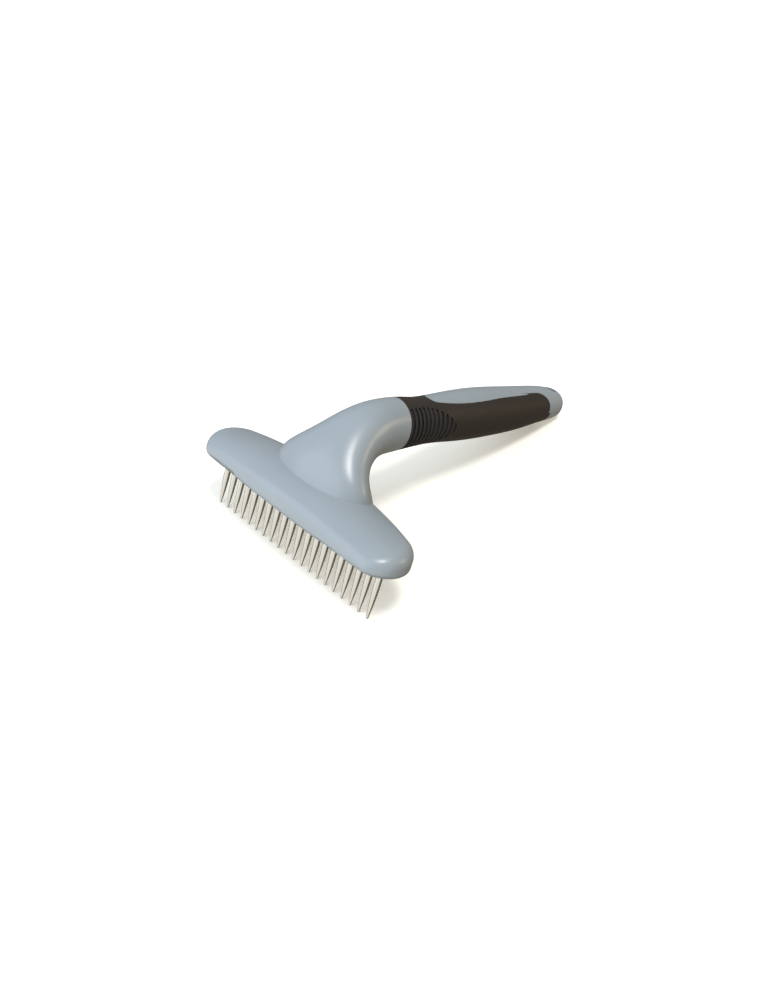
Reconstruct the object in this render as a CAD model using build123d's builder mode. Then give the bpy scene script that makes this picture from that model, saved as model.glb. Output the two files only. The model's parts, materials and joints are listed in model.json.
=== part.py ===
from build123d import *

import os
from math import cos, radians, sin

# Undercoat rake: a T-shaped hand tool with one row of freely turning steel pins.
#
# The rake is drawn upright and set down at the end.  Upright, the pin tips lie on z = 0, the pins stand
# along Z, the head bar runs along Y and the handle runs away along +X.  Set down, the rake rests on its
# pin tips and on the underside of its tail, with the origin under the middle of its bounding box.
# All sizes are in millimetres.

# Pins
pin_count = 20
pin_pitch = 4.75
pin_reach = 22.0  # from the tip to the underside of the pin plate
pin_radius = 1.3
pin_straight = 8.5  # length of plain shank below the plate
pin_tip_radius = 0.42
pin_belly = (1.02, 7.0)  # radius of the long taper and its height above the tip, midway
flange_radius = 1.85
flange_height = 1.0
turning_gap = 0.05  # clearance round and above a pin that turns freely

# Head bar
bar_length = 108.6
bar_front = 13.2  # from the pin row to the front, at mid length
bar_front_at_end = 12.0
bar_back = 16.0
bar_back_at_end = 11.2
bar_end_round = 8.4
bar_corner_round = 7.0
bar_bottom = 21.5
bar_top = 35.7
bar_arch_radius = 285.0  # of the line along the middle of the top
bar_crown_x = 4.0
bar_crown_half_depth = 18.0
bar_crown_rise = 10.5
bar_shoulder_round = 5.0
bar_bottom_round = 2.6
bar_wall = 3.0
bar_crown_wall = 2.4
rib_thickness = 1.2
rib_rows = (-45.0, -28.0, 0.0, 28.0, 45.0)

# Pin plate and the strip that keeps the pins in it
plate_gap = 0.1
plate_thickness = 3.0
plate_bottom = pin_reach
plate_top = plate_bottom + plate_thickness
counterbore_depth = flange_height + 2 * turning_gap
counterbore_radius = flange_radius + 0.15
strip_width = 5.4
strip_length = 96.0
strip_thickness = 1.2
strip_top = plate_top + strip_thickness

# Screws, each with a cross recess in its head
plate_screw_spots = ((-6.2, -36.0), (-6.2, 36.0), (7.6, -20.0), (7.6, 20.0))
plate_screw_radius = 1.1
plate_screw_head_radius = 2.1
plate_screw_head_height = 1.3
plate_screw_length = 7.2
recess_length = 2.4
recess_width = 0.6
recess_depth = 0.8
plate_post_radius = 2.6
plate_post_depth = 5.9
neck_screw_spots = ((6.0, -13.0), (6.0, 13.0))
neck_screw_radius = 1.4
neck_screw_head_radius = 2.6
neck_screw_head_height = 1.8
neck_screw_length = 11.0
neck_pad_radius = 3.4
neck_pad_bottom = 31.0
thread_gap = 0.02
screw_hole_gap = 0.2

# Handle
rubber_thickness = 1.7
collar_x = 36.6
rubber_end_x = 130.4
handle_end = 142.3
tail_round = 3.4
neck_wall = 3.0
hang_hole_x = 136.6
hang_hole_radius = 2.8

# Window in the top of the rubber, half outline in plan: x, y
window_tip_x = 53.2
window_floor = 57.0
window_points = ((57.5, 4.0), (66.0, 5.6), (79.0, 6.5), (97.0, 5.6), (113.0, 4.2), (120.5, 3.9))

# Grooves on each side of the rubber
groove_count = 11
groove_pitch = 2.46
groove_width = 1.25
groove_depth = 0.85
first_groove_x = 38.6

# One row for each section along the neck and handle:
# x and z of its centre, lean from upright in degrees, half width, half height, squareness
neck_stations = (
    (7.0, 29.5, 87.0, 26.3, 13.4, 2.2),
    (7.4, 35.1, 81.0, 23.6, 11.9, 2.1),
    (8.8, 40.9, 64.0, 19.8, 10.4, 2.0),
    (13.0, 46.1, 43.0, 14.9, 9.9, 2.0),
    (19.9, 50.8, 22.0, 11.9, 10.3, 2.0),
    (28.2, 53.1, 5.0, 10.6, 10.8, 2.0),
)
handle_stations = (
    (39.0, 54.0, 0.0, 10.2, 10.5, 2.0),
    (47.0, 54.2, 0.0, 9.7, 9.9, 2.0),
    (56.0, 54.7, 0.0, 9.6, 9.8, 2.0),
    (68.0, 55.2, 0.0, 10.5, 10.3, 2.0),
    (84.0, 55.8, 0.0, 11.1, 10.6, 2.0),
    (102.0, 56.3, 0.0, 10.7, 10.0, 2.0),
    (120.0, 57.2, 0.0, 9.5, 8.8, 2.0),
    (133.0, 57.8, 0.0, 8.2, 7.5, 2.1),
    (handle_end, 58.3, 0.0, 6.6, 5.8, 2.2),
)

upwards = (Align.CENTER, Align.CENTER, Align.MIN)
forwards = (Align.MIN, Align.CENTER, Align.CENTER)
half_length = bar_length / 2
corner_y = half_length - bar_end_round
pin_rows = [(k - (pin_count - 1) / 2) * pin_pitch for k in range(pin_count)]


def superellipse(half_width, half_height, squareness, count=16):
    """Points round a closed outline: an ellipse at squareness 2, boxier above it."""
    points = []
    for k in range(count):
        turn = radians(360.0 * k / count)
        c = cos(turn)
        s = sin(turn)
        u = half_width * abs(c) ** (2.0 / squareness) * (1 if c >= 0 else -1)
        v = half_height * abs(s) ** (2.0 / squareness) * (1 if s >= 0 else -1)
        points.append((u, v))
    return points


def lofted_form(stations, shrink=0.0):
    """A smooth body through the stations, each section drawn in by shrink."""
    with BuildPart() as form:
        for x, z, lean, half_width, half_height, squareness in stations:
            normal = (cos(radians(lean)), 0, sin(radians(lean)))
            with BuildSketch(Plane(origin=(x, 0, z), x_dir=(0, 1, 0), z_dir=normal)):
                with BuildLine():
                    outline = superellipse(half_width - shrink, half_height - shrink, squareness)
                    Spline(*outline, periodic=True)
                make_face()
        loft()
    return form.part


def bar_plan(height, inset=0.0):
    """The bar's outline seen from above, drawn in by inset."""
    front_corner = inset - bar_front_at_end
    back_corner = bar_back_at_end - inset
    end_middle = (bar_back_at_end - bar_front_at_end) / 2
    with BuildSketch(Plane.XY.offset(height)) as plan:
        with BuildLine():
            front = ThreePointArc((front_corner, -corner_y), (inset - bar_front, 0), (front_corner, corner_y))
            back = ThreePointArc((back_corner, corner_y), (bar_back - inset, 0), (back_corner, -corner_y))
            ThreePointArc(front @ 1, (end_middle, half_length - inset), back @ 0)
            ThreePointArc(back @ 1, (end_middle, inset - half_length), front @ 0)
        make_face()
        fillet(plan.vertices(), radius=bar_corner_round - inset)
    return plan.sketch


def bar_crown(drop=0.0):
    """A body with the bar's crowned, arched top, lowered by drop."""
    arch_axis = Axis((0, 0, bar_top - bar_arch_radius), (1, 0, 0))
    with BuildPart() as crown:
        with BuildSketch(Plane.XZ):
            with BuildLine():
                over = EllipticalCenterArc(
                    (bar_crown_x, bar_top - bar_crown_rise),
                    bar_crown_half_depth - drop,
                    bar_crown_rise - drop,
                    start_angle=0,
                    arc_size=180,
                )
                Polyline(over @ 1, ((over @ 1).X, 0), ((over @ 0).X, 0), over @ 0)
            make_face()
        revolve(axis=arch_axis, revolution_arc=26)
    return crown.part.rotate(arch_axis, -13)


# ---- Outer forms that several pieces are cut from
with BuildPart() as bar_form:
    extrude(bar_plan(bar_bottom), amount=bar_top - bar_bottom + 1)
    add(bar_crown(), mode=Mode.INTERSECT)
    fillet(bar_form.faces().sort_by(Axis.Z)[0].edges(), radius=bar_bottom_round)
    fillet(bar_form.faces().sort_by(Axis.Z)[-1].edges(), radius=bar_shoulder_round)

with BuildPart() as handle_form:
    add(lofted_form(neck_stations + handle_stations))
    fillet(handle_form.faces().sort_by(Axis.X)[-1].edges(), radius=tail_round)

# ---- Rubber grip: a sleeve over the handle, open above for the window, grooved beside the collar
with BuildPart() as grooves:
    with BuildSketch(Plane.XZ):
        with BuildLine():
            upper = Spline((collar_x + 0.6, 62.7), (48.0, 62.5), (57.0, 60.9), (64.9, 55.0))
            lower = Spline(upper @ 1, (60.5, 50.1), (50.0, 47.0), (collar_x + 0.6, 44.9))
            Line(lower @ 1, upper @ 0)
        make_face()
    extrude(amount=20, both=True)
    with BuildSketch(Plane.XZ):
        with Locations(*[(first_groove_x + k * groove_pitch, 54.0) for k in range(groove_count)]):
            Rectangle(groove_width, 30)
    extrude(amount=20, both=True, mode=Mode.INTERSECT)
    add(lofted_form(neck_stations[-1:] + handle_stations, shrink=groove_depth), mode=Mode.SUBTRACT)

with BuildPart() as sleeve:
    add(handle_form.part)
    with Locations((collar_x, 0, 54)):
        Box(rubber_end_x - collar_x, 40, 40, align=forwards, mode=Mode.INTERSECT)
    add(lofted_form(neck_stations[-1:] + handle_stations, shrink=rubber_thickness), mode=Mode.SUBTRACT)
    with BuildSketch(Plane.XY.offset(window_floor)):
        with BuildLine():
            side = Spline((window_tip_x, 0), *window_points, tangents=((0, 1), (1, 0)))
            lobe = JernArc(side @ 1, (1, 0), rubber_end_x - window_points[-1][0], 90)
            Polyline(lobe @ 1, (handle_end, (lobe @ 1).Y), (handle_end, 0))
            mirror(about=Plane.XZ)
        make_face()
    extrude(amount=20, mode=Mode.SUBTRACT)

with BuildPart() as rubber_grip:
    add(sleeve.part)
    add(grooves.part, mode=Mode.SUBTRACT)

# ---- Handle core: neck, collar, window and tail in one moulding, hollow in the neck
with BuildPart() as neck_pocket:
    add(lofted_form(neck_stations[:5], shrink=neck_wall))
    with Locations(*[(x, y, bar_bottom) for x, y in neck_screw_spots]):
        Cylinder(neck_pad_radius, 40, align=upwards, mode=Mode.SUBTRACT)

with BuildPart() as handle_core:
    add(handle_form.part)
    add(sleeve.part, mode=Mode.SUBTRACT)
    add(bar_form.part, mode=Mode.SUBTRACT)
    add(neck_pocket.part, mode=Mode.SUBTRACT)
    with Locations(*[(x, y, neck_pad_bottom) for x, y in neck_screw_spots]):
        Cylinder(neck_screw_radius + thread_gap, neck_screw_length + 0.5, align=upwards, mode=Mode.SUBTRACT)
    with Locations((hang_hole_x, 0, 40)):
        Cylinder(hang_hole_radius, 40, align=upwards, mode=Mode.SUBTRACT)

# ---- Head bar: a shell open below, stiffened by cross ribs, with posts for the plate screws
with BuildPart() as bar_cavity:
    extrude(bar_plan(bar_bottom, bar_wall), amount=20)
    add(bar_crown(bar_crown_wall), mode=Mode.INTERSECT)
    with Locations(*[(0, y, strip_top) for y in rib_rows]):
        Box(60, rib_thickness, 20, align=upwards, mode=Mode.SUBTRACT)
    with Locations(*[(x, y, plate_top) for x, y in plate_screw_spots]):
        Cylinder(plate_post_radius, 20, align=upwards, mode=Mode.SUBTRACT)
    with Locations(*[(x, y, neck_pad_bottom) for x, y in neck_screw_spots]):
        Cylinder(neck_pad_radius, 20, align=upwards, mode=Mode.SUBTRACT)

with BuildPart() as head_bar:
    add(bar_form.part)
    add(bar_cavity.part, mode=Mode.SUBTRACT)
    with Locations(*[(x, y, plate_top) for x, y in plate_screw_spots]):
        Cylinder(plate_screw_radius + thread_gap, plate_post_depth, align=upwards, mode=Mode.SUBTRACT)
    with Locations(*[(x, y, neck_pad_bottom) for x, y in neck_screw_spots]):
        Cylinder(neck_screw_radius + screw_hole_gap, 10, align=upwards, mode=Mode.SUBTRACT)

# ---- Pin plate: closes the bar from below, with a stepped bore for each pin
with BuildPart() as pin_plate:
    extrude(bar_plan(plate_bottom, bar_wall + plate_gap), amount=plate_thickness)
    with Locations(*[(0, y, plate_top) for y in pin_rows]):
        CounterBoreHole(pin_radius + turning_gap, counterbore_radius, counterbore_depth, plate_thickness)
    with Locations(*[(x, y, plate_bottom) for x, y in plate_screw_spots]):
        Cylinder(plate_screw_radius + screw_hole_gap, plate_thickness, align=upwards, mode=Mode.SUBTRACT)
        Cylinder(
            plate_screw_head_radius + screw_hole_gap,
            plate_screw_head_height,
            align=upwards,
            mode=Mode.SUBTRACT,
        )

# ---- Retainer strip: lies on the plate, under the ribs, and keeps the pin flanges in their counterbores
with BuildPart() as retainer_strip:
    with BuildSketch(Plane.XY.offset(plate_top)):
        SlotOverall(strip_length, strip_width, rotation=90)
    extrude(amount=strip_thickness)

# ---- Screws, one solid each, grouped by kind
with BuildPart() as plate_screws:
    with Locations(*[(x, y, plate_bottom) for x, y in plate_screw_spots]):
        Cylinder(plate_screw_head_radius, plate_screw_head_height, align=upwards)
        Box(recess_length, recess_width, recess_depth, align=upwards, mode=Mode.SUBTRACT)
        Box(recess_width, recess_length, recess_depth, align=upwards, mode=Mode.SUBTRACT)
    with Locations(*[(x, y, plate_bottom + plate_screw_head_height) for x, y in plate_screw_spots]):
        Cylinder(plate_screw_radius, plate_screw_length, align=upwards)

with BuildPart() as neck_screws:
    with Locations(*[(x, y, neck_pad_bottom - neck_screw_head_height) for x, y in neck_screw_spots]):
        Cylinder(neck_screw_head_radius, neck_screw_head_height, align=upwards)
        Box(recess_length, recess_width, recess_depth, align=upwards, mode=Mode.SUBTRACT)
        Box(recess_width, recess_length, recess_depth, align=upwards, mode=Mode.SUBTRACT)
    with Locations(*[(x, y, neck_pad_bottom) for x, y in neck_screw_spots]):
        Cylinder(neck_screw_radius, neck_screw_length, align=upwards)

# ---- Pin: round tip, long taper, plain shank and a flange that turns in the plate
flange_bottom = plate_top - counterbore_depth + turning_gap
with BuildPart() as pin:
    with BuildSketch(Plane.XZ):
        with BuildLine():
            tip = JernArc((0, 0), (1, 0), pin_tip_radius, 84)
            taper = ThreePointArc(tip @ 1, pin_belly, (pin_radius, pin_reach - pin_straight))
            Polyline(
                taper @ 1,
                (pin_radius, flange_bottom),
                (flange_radius, flange_bottom),
                (flange_radius, flange_bottom + flange_height),
                (0, flange_bottom + flange_height),
                (0, 0),
            )
        make_face()
    revolve(axis=Axis.Z)


def lowest(shape, tilt):
    return shape.moved(Location((0, 0, 0), (0, tilt, 0))).bounding_box().min.Z


# ---- Set down: lean the rake until the tail is as low as the pin tips
low_tilt = 18.0
high_tilt = 23.0
for _ in range(12):
    rest_tilt = (low_tilt + high_tilt) / 2
    if lowest(handle_form.part, rest_tilt) > lowest(pin.part, rest_tilt):
        low_tilt = rest_tilt
    else:
        high_tilt = rest_tilt

pieces = {
    "handle_core": handle_core,
    "rubber_grip": rubber_grip,
    "head_bar": head_bar,
    "pin_plate": pin_plate,
    "retainer_strip": retainer_strip,
    "plate_screws": plate_screws,
    "neck_screws": neck_screws,
}
leaning = Location((0, 0, 0), (0, rest_tilt, 0))
leaning_parts = [part.part.moved(leaning) for part in (pin, *pieces.values())]
box = Compound(leaning_parts).bounding_box()
set_down = Location((-box.center().X, 0, -box.min.Z)) * leaning

os.makedirs("parts", exist_ok=True)
for name, piece in pieces.items():
    piece.part = piece.part.moved(set_down)
    piece.part.label = name
    export_step(piece.part, f"parts/{name}.step")

for number, y in enumerate(pin_rows, start=1):
    with BuildPart() as turning_pin:
        add(pin.part.moved(set_down * Location((0, y, 0))))
    turning_pin.part.label = f"pin_{number:02d}"
    export_step(turning_pin.part, f"parts/pin_{number:02d}.step")

print(f"rest tilt {rest_tilt:.4f}, size {box.size}, moved by {-box.center().X:.4f} and {-box.min.Z:.4f}")
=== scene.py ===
import json
from math import atan2, cos, radians, sin

import bpy
from mathutils import Matrix, Vector


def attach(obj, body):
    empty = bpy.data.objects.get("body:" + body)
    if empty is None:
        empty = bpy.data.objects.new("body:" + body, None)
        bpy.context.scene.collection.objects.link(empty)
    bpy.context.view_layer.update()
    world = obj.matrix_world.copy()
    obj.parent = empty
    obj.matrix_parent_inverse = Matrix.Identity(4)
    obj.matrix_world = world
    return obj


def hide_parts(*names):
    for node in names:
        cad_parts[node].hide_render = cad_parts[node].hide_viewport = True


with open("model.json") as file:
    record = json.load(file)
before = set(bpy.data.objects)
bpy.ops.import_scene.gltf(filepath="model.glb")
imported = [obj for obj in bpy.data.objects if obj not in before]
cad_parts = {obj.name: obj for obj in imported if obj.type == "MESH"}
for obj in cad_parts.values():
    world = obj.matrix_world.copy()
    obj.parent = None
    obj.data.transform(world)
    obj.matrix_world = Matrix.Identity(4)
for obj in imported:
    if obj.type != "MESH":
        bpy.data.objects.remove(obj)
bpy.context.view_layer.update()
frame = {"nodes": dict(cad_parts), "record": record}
bpy.ops.object.select_all(action="DESELECT")

# Undercoat rake on a white sweep: moulded ABS head and handle, soft rubber grip, twenty steel pins.

nodes = frame["nodes"]
pinNames = sorted(name for name in nodes if name.startswith("pin_") and name != "pin_plate")
pinAxis = Vector(frame["record"]["behaviour"]["joints"][0]["axis"])
restTilt = atan2(pinAxis.x, pinAxis.z)  # the rake leans by this much about Y
mm = 0.001
bandsPerMetre = 3.1831  # of a wave texture at scale 1


# small tools

def hexColor(code):  # sRGB hex to linear
    values = [int(code[i:i + 2], 16) / 255 for i in (0, 2, 4)]
    linear = [v / 12.92 if v <= 0.04045 else ((v + 0.055) / 1.055) ** 2.4 for v in values]
    return (*linear, 1.0)


def addNode(tree, kind, settings=None, links=None):
    node = tree.nodes.new(kind)
    for name, value in (settings or {}).items():
        setattr(node, name, value)
    for socket, value in (links or {}).items():
        if isinstance(value, bpy.types.NodeSocket):
            tree.links.new(value, node.inputs[socket])
        else:
            node.inputs[socket].default_value = value
    return node


def newMaterial(name):
    material = bpy.data.materials.new(name)
    material.use_nodes = True
    tree = material.node_tree
    shader = tree.nodes["Principled BSDF"]
    return material, tree, shader


def paint(nodeName, material):
    for materialSlot in nodes[nodeName].material_slots:
        materialSlot.material = material


# materials

# ABS, injection moulded in a lightly blasted tool: an even satin skin with a soft, slightly rippled shine
mouldedAbsLook = {
    "color": "8F989C",
    "deepColor": "879094",
    "flowSize": 22 * mm,  # slow drift of shade along the melt flow
    "grainSize": 0.45 * mm,  # blasted grain is about 0.1 mm; drawn coarser so that it shows
    "grainDepth": 0.006 * mm,
    "sinkSize": 9 * mm,  # slow ripple left by sink over ribs and walls
    "sinkDepth": 0.02 * mm,
    "roughness": (0.28, 0.33),
    "ior": 1.54,
}

# The same ABS in a darker grey, for the plate and strip that are seen only from below
plateAbsLook = dict(mouldedAbsLook, color="787F85", deepColor="6F767C")

# TPE rubber, moulded over the core and left matt: dull, with a faint grain and a soft edge sheen, and its
# colour darkened between the ribs as painted shade
softRubberLook = {
    "color": "29221C",
    "paleColor": "2B2622",
    "cloudSize": 14 * mm,
    "grainSize": 0.5 * mm,  # etched grain is about 0.15 mm; drawn coarser so that it shows
    "grainDepth": 0.012 * mm,
    "roughness": (0.48, 0.62),
    "ior": 1.5,
    "paintedShadeColor": "030303",  # painted shade: the colour is darkened towards this between the ribs, where little light gets in
    "hollowReach": 2.6 * mm,
    "openness": (0.5, 0.95),  # from full painted shade in a hollow to open rubber
    "specular": 0.3,  # soot filled rubber throws back less than its clear resin would
    "sheen": 0.015,
    "sheenRoughness": 0.5,
}

# Stainless steel wire, centreless ground and tumbled: bright, with fine rings round each pin
groundSteelLook = {
    "color": "B8B7B1",
    "ringSpacing": 0.55 * mm,  # grinding rings are under 0.1 mm apart; drawn coarser so that they show
    "ringDepth": 0.012 * mm,
    "ringWander": 0.6,
    "hazeSize": 1.5 * mm,
    "roughness": (0.12, 0.22),
}

# Steel, zinc plated and passivated: grey and a little dull, with a faint mottle
zincSteelLook = {
    "color": "B9BBBD",
    "mottleSize": 0.8 * mm,
    "roughness": (0.3, 0.42),
}


def makePlastic(name, look):
    material, tree, shader = newMaterial(name)
    place = addNode(tree, "ShaderNodeTexCoord").outputs["Object"]
    flow = addNode(tree, "ShaderNodeTexNoise", {},
                   {"Vector": place, "Scale": 1 / look["flowSize"], "Detail": 2.0})
    grain = addNode(tree, "ShaderNodeTexNoise", {},
                    {"Vector": place, "Scale": 1 / look["grainSize"], "Detail": 3.0})
    sink = addNode(tree, "ShaderNodeTexNoise", {},
                   {"Vector": place, "Scale": 1 / look["sinkSize"], "Detail": 1.0})
    shade = addNode(tree, "ShaderNodeMix", {"data_type": "RGBA"},
                    {0: flow.outputs["Fac"], 6: hexColor(look["deepColor"]), 7: hexColor(look["color"])})
    gloss = addNode(tree, "ShaderNodeMapRange", {"interpolation_type": "SMOOTHSTEP"},
                    {0: flow.outputs["Fac"], 1: 0.1, 2: 0.9,
                     3: look["roughness"][0], 4: look["roughness"][1]})
    ripple = addNode(tree, "ShaderNodeBump", {},
                     {"Distance": look["sinkDepth"], "Height": sink.outputs["Fac"]})
    skin = addNode(tree, "ShaderNodeBump", {},
                   {"Distance": look["grainDepth"], "Height": grain.outputs["Fac"],
                    "Normal": ripple.outputs[0]})
    tree.links.new(shade.outputs[2], shader.inputs["Base Color"])
    tree.links.new(gloss.outputs[0], shader.inputs["Roughness"])
    tree.links.new(skin.outputs[0], shader.inputs["Normal"])
    shader.inputs["IOR"].default_value = look["ior"]
    return material


def makeRubber(name, look):
    material, tree, shader = newMaterial(name)
    place = addNode(tree, "ShaderNodeTexCoord").outputs["Object"]
    cloud = addNode(tree, "ShaderNodeTexNoise", {},
                    {"Vector": place, "Scale": 1 / look["cloudSize"], "Detail": 4.0})
    grain = addNode(tree, "ShaderNodeTexNoise", {},
                    {"Vector": place, "Scale": 1 / look["grainSize"], "Detail": 2.0})
    shade = addNode(tree, "ShaderNodeMix", {"data_type": "RGBA"},
                    {0: cloud.outputs["Fac"], 6: hexColor(look["color"]), 7: hexColor(look["paleColor"])})
    # painted shade: ambient occlusion darkens the base colour in the hollows between the ribs
    paintedShadeMask = addNode(tree, "ShaderNodeAmbientOcclusion", {"samples": 8},
                     {"Distance": look["hollowReach"]})
    openness = addNode(tree, "ShaderNodeMapRange", {},
                       {0: paintedShadeMask.outputs["AO"], 1: look["openness"][0], 2: look["openness"][1]})
    whole = addNode(tree, "ShaderNodeMix", {"data_type": "RGBA"},
                    {0: openness.outputs[0], 6: hexColor(look["paintedShadeColor"]), 7: shade.outputs[2]})
    gloss = addNode(tree, "ShaderNodeMapRange", {},
                    {0: cloud.outputs["Fac"], 1: 0.3, 2: 0.7,
                     3: look["roughness"][0], 4: look["roughness"][1]})
    skin = addNode(tree, "ShaderNodeBump", {},
                   {"Distance": look["grainDepth"], "Height": grain.outputs["Fac"]})
    tree.links.new(whole.outputs[2], shader.inputs["Base Color"])
    tree.links.new(gloss.outputs[0], shader.inputs["Roughness"])
    tree.links.new(skin.outputs[0], shader.inputs["Normal"])
    shader.inputs["IOR"].default_value = look["ior"]
    shader.inputs["Specular IOR Level"].default_value = look["specular"]
    shader.inputs["Sheen Weight"].default_value = look["sheen"]
    shader.inputs["Sheen Roughness"].default_value = look["sheenRoughness"]
    return material


def makeSteel(name, look):
    material, tree, shader = newMaterial(name)
    place = addNode(tree, "ShaderNodeTexCoord").outputs["Object"]
    upright = addNode(tree, "ShaderNodeMapping", {}, {"Vector": place, "Rotation": (0, -restTilt, 0)})
    rings = addNode(tree, "ShaderNodeTexWave", {"bands_direction": "Z", "wave_profile": "SIN"},
                    {"Vector": upright.outputs[0], "Scale": 1 / look["ringSpacing"] / bandsPerMetre,
                     "Distortion": look["ringWander"], "Detail": 2.0, "Detail Scale": 2.0})
    haze = addNode(tree, "ShaderNodeTexNoise", {},
                   {"Vector": place, "Scale": 1 / look["hazeSize"], "Detail": 2.0})
    gloss = addNode(tree, "ShaderNodeMapRange", {},
                    {0: haze.outputs["Fac"], 1: 0.3, 2: 0.7,
                     3: look["roughness"][0], 4: look["roughness"][1]})
    skin = addNode(tree, "ShaderNodeBump", {},
                   {"Distance": look["ringDepth"], "Height": rings.outputs["Fac"]})
    tree.links.new(gloss.outputs[0], shader.inputs["Roughness"])
    tree.links.new(skin.outputs[0], shader.inputs["Normal"])
    shader.inputs["Base Color"].default_value = hexColor(look["color"])
    shader.inputs["Metallic"].default_value = 1.0
    return material


def makeZinc(name, look):
    material, tree, shader = newMaterial(name)
    place = addNode(tree, "ShaderNodeTexCoord").outputs["Object"]
    mottle = addNode(tree, "ShaderNodeTexVoronoi", {}, {"Vector": place, "Scale": 1 / look["mottleSize"]})
    gloss = addNode(tree, "ShaderNodeMapRange", {},
                    {0: mottle.outputs["Distance"], 1: 0.0, 2: 0.8,
                     3: look["roughness"][0], 4: look["roughness"][1]})
    tree.links.new(gloss.outputs[0], shader.inputs["Roughness"])
    shader.inputs["Base Color"].default_value = hexColor(look["color"])
    shader.inputs["Metallic"].default_value = 1.0
    return material


mouldedAbs = makePlastic("mouldedAbs", mouldedAbsLook)
plateAbs = makePlastic("plateAbs", plateAbsLook)
softRubber = makeRubber("softRubber", softRubberLook)
groundSteel = makeSteel("groundSteel", groundSteelLook)
zincSteel = makeZinc("zincSteel", zincSteelLook)

for name in ("head_bar", "handle_core"):
    paint(name, mouldedAbs)
for name in ("pin_plate", "retainer_strip"):
    paint(name, plateAbs)
for name in ("plate_screws", "neck_screws"):
    paint(name, zincSteel)
for name in pinNames:
    paint(name, groundSteel)


# grip: the rubber sleeve with its edges and ribs rounded over

gripSleeve = {
    "mergeDistance": 0.01 * mm,
    "voxel": 0.25 * mm,
    "keptFaces": 0.5,
    "rounding": 1,  # smoothing passes
    "roundingShare": 0.5,  # of the way to its neighbours, each pass
}

sleeve = nodes["rubber_grip"].copy()
sleeve.data = nodes["rubber_grip"].data.copy()
sleeve.name = "gripSleeve"
sleeve.parent = None
bpy.context.collection.objects.link(sleeve)
bpy.ops.object.select_all(action="DESELECT")
sleeve.select_set(True)
bpy.context.view_layer.objects.active = sleeve
bpy.ops.object.mode_set(mode="EDIT")
bpy.ops.mesh.select_all(action="SELECT")
bpy.ops.mesh.remove_doubles(threshold=gripSleeve["mergeDistance"])
bpy.ops.object.mode_set(mode="OBJECT")
remesh = sleeve.modifiers.new("evenSkin", "REMESH")
remesh.mode = "VOXEL"
remesh.voxel_size = gripSleeve["voxel"]
bpy.ops.object.modifier_apply(modifier="evenSkin")
soften = sleeve.modifiers.new("rounding", "SMOOTH")
soften.factor = gripSleeve["roundingShare"]
soften.iterations = gripSleeve["rounding"]
bpy.ops.object.modifier_apply(modifier="rounding")
thin = sleeve.modifiers.new("thinning", "DECIMATE")
thin.ratio = gripSleeve["keptFaces"]
bpy.ops.object.modifier_apply(modifier="thinning")
bpy.ops.object.shade_smooth()
sleeve.data.materials.clear()
sleeve.data.materials.append(softRubber)
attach(sleeve, "rake")
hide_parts("rubber_grip")
print("grip sleeve has", len(sleeve.data.polygons), "faces")
print("materials on", len(nodes), "nodes")


# floor, light and camera

studio = {
    "floorSize": 12.0,
    "floorColor": "F3F2E9",
    "floorRoughness": 0.9,
    "floorPaintedGlow": ("FFF3DA", 0.24),  # painted glow: the sweep emits a pale warm light of its own, so shadows on it stay pale and warm
    "paperGrainScale": 400.0,
    "paperGrainDepth": 0.02 * mm,
    "backdrop": ("FFFFFF", 1.0),  # plain white behind the table
    "horizonBlend": 0.12,  # how far above and below the horizon the sky runs into the table
    "skyTone": ("E3EFFF", 0.91),  # cool daylight above
    "tableTone": ("FFFBF4", 1.55),  # the white table below
    "dimTone": ("B09C80", 0.8),  # the dim, warm end of the room, low beyond the near end of the head
    "dimDirection": (0.66, -0.64, -0.4),
    "dimSpread": (-0.25, 0.8),
    "shineTone": ("968F80", 0.75),  # the dim side of the room as bright surfaces mirror it
    "shineDirection": (0.785, 0.07, -0.616),
    "shineSpread": (-0.25, 0.35),
    "suns": {  # azimuth, elevation and angular width in degrees, then strength and colour
        "overheadBox": (-96, 73, 15, 1.7, "FFFCF8"),
        "leftBox": (160, 30, 70, 1.45, "F2F5FF"),
        "warmCard": (-42, 14, 16, 0.4, "FFE3BC"),
    },
}


def tone(look):
    return (*[part * look[1] for part in hexColor(look[0])[:3]], 1.0)


bpy.ops.mesh.primitive_plane_add(size=studio["floorSize"], location=(0, 0, 0))
floor = bpy.context.object
floor.name = "floor"
paper, paperTree, paperShader = newMaterial("whitePaper")
paperGrain = addNode(paperTree, "ShaderNodeTexNoise", {}, {"Scale": studio["paperGrainScale"]})
paperBump = addNode(paperTree, "ShaderNodeBump", {},
                    {"Distance": studio["paperGrainDepth"], "Height": paperGrain.outputs["Fac"]})
paperTree.links.new(paperBump.outputs[0], paperShader.inputs["Normal"])
paperShader.inputs["Base Color"].default_value = hexColor(studio["floorColor"])
paperShader.inputs["Roughness"].default_value = studio["floorRoughness"]
# painted glow: the floor emits light though it is no lamp, which lifts the shadows cast on it
paperShader.inputs["Emission Color"].default_value = hexColor(studio["floorPaintedGlow"][0])
paperShader.inputs["Emission Strength"].default_value = studio["floorPaintedGlow"][1]
floor.data.materials.append(paper)
floor.visible_diffuse = False  # the rake is lit by the room, not by what the white sweep throws back
floor.visible_glossy = False

world = bpy.data.worlds.new("studioWorld")
bpy.context.scene.world = world
world.use_nodes = True
room = world.node_tree
background = room.nodes["Background"]
looking = addNode(room, "ShaderNodeTexCoord").outputs["Generated"]
height = addNode(room, "ShaderNodeSeparateXYZ", {}, {0: looking}).outputs["Z"]
below = addNode(room, "ShaderNodeMapRange", {"interpolation_type": "SMOOTHSTEP"},
                {0: height, 1: studio["horizonBlend"], 2: -studio["horizonBlend"], 3: 0.0, 4: 1.0})


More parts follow.
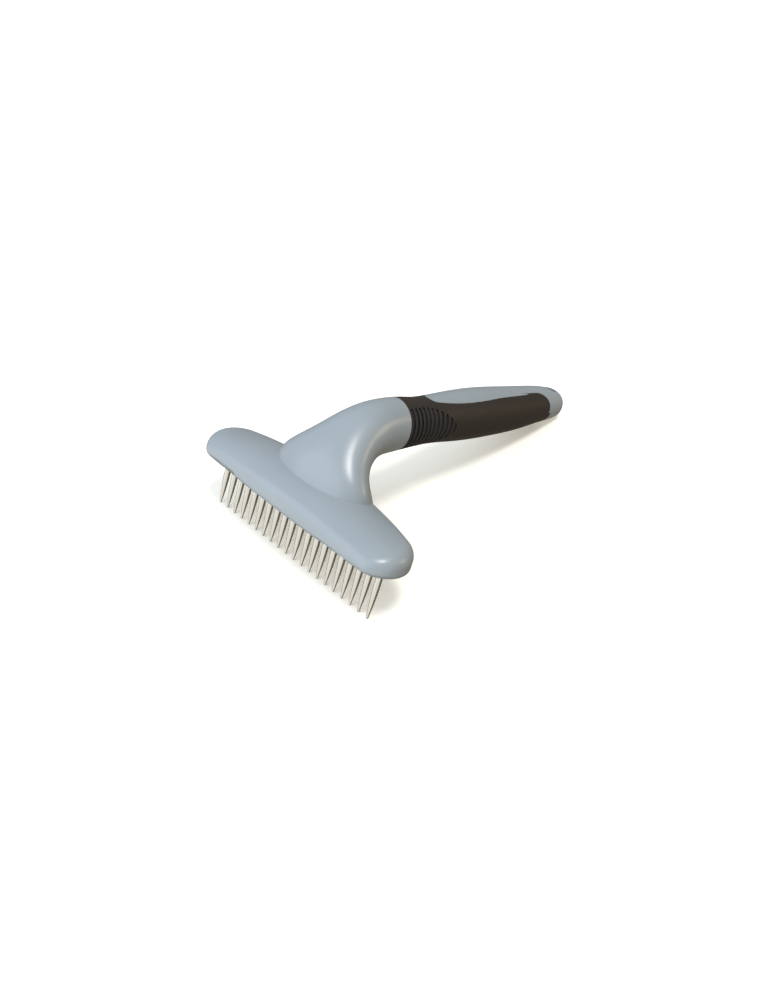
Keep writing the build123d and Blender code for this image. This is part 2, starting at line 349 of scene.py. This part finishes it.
def dimSide(direction, spread):  # 0 on the bright side of the room, 1 on the dim side
    toward = addNode(room, "ShaderNodeVectorMath", {"operation": "DOT_PRODUCT"},
                     {0: looking, 1: Vector(direction).normalized()})
    amount = addNode(room, "ShaderNodeMapRange", {"interpolation_type": "SMOOTHSTEP"},
                     {0: toward.outputs["Value"], 1: spread[0], 2: spread[1], 3: 0.0, 4: 1.0})
    return amount.outputs[0]


rays = addNode(room, "ShaderNodeLightPath")
mirrored = rays.outputs["Is Glossy Ray"]
dimmed = addNode(room, "ShaderNodeMix", {"data_type": "FLOAT"},
                 {0: mirrored, 2: dimSide(studio["dimDirection"], studio["dimSpread"]),
                  3: dimSide(studio["shineDirection"], studio["shineSpread"])})
dimEnd = addNode(room, "ShaderNodeMix", {"data_type": "RGBA"},
                 {0: mirrored, 6: tone(studio["dimTone"]), 7: tone(studio["shineTone"])})
brightRoom = addNode(room, "ShaderNodeMix", {"data_type": "RGBA"},
                     {0: below.outputs[0], 6: tone(studio["skyTone"]), 7: tone(studio["tableTone"])})
wholeRoom = addNode(room, "ShaderNodeMix", {"data_type": "RGBA"},
                    {0: dimmed.outputs[0], 6: brightRoom.outputs[2], 7: dimEnd.outputs[2]})
seenRoom = addNode(room, "ShaderNodeMix", {"data_type": "RGBA"},
                   {0: rays.outputs["Is Camera Ray"], 6: wholeRoom.outputs[2], 7: tone(studio["backdrop"])})
room.links.new(seenRoom.outputs[2], background.inputs["Color"])

for name, (azimuth, elevation, width, strength, color) in studio["suns"].items():
    around, up = radians(azimuth), radians(elevation)
    direction = Vector((cos(around) * cos(up), sin(around) * cos(up), sin(up)))
    light = bpy.data.lights.new(name, "SUN")
    light.angle = radians(width)
    light.energy = strength
    light.color = hexColor(color)[:3]
    lamp = bpy.data.objects.new(name, light)
    bpy.context.collection.objects.link(lamp)
    lamp.location = direction
    lamp.rotation_euler = direction.to_track_quat("Z", "Y").to_euler()

cameraPlace = {
    "location": (-0.25708, -0.25023, 0.27083),
    "target": (-0.02377, 0.00154, 0.0),
    "roll": 0.93,
    "lens": 38.256,
}
lens = bpy.data.cameras.new("camera")
lens.lens = cameraPlace["lens"]
camera = bpy.data.objects.new("camera", lens)
bpy.context.collection.objects.link(camera)
sight = Vector(cameraPlace["target"]) - Vector(cameraPlace["location"])
aim = sight.to_track_quat("-Z", "Y").to_matrix().to_4x4()
roll = Matrix.Rotation(radians(cameraPlace["roll"]), 4, "Z")
camera.matrix_world = Matrix.Translation(cameraPlace["location"]) @ aim @ roll
bpy.context.scene.camera = camera
bpy.context.scene.view_settings.view_transform = "Standard"
print("floor, lights and camera are set")
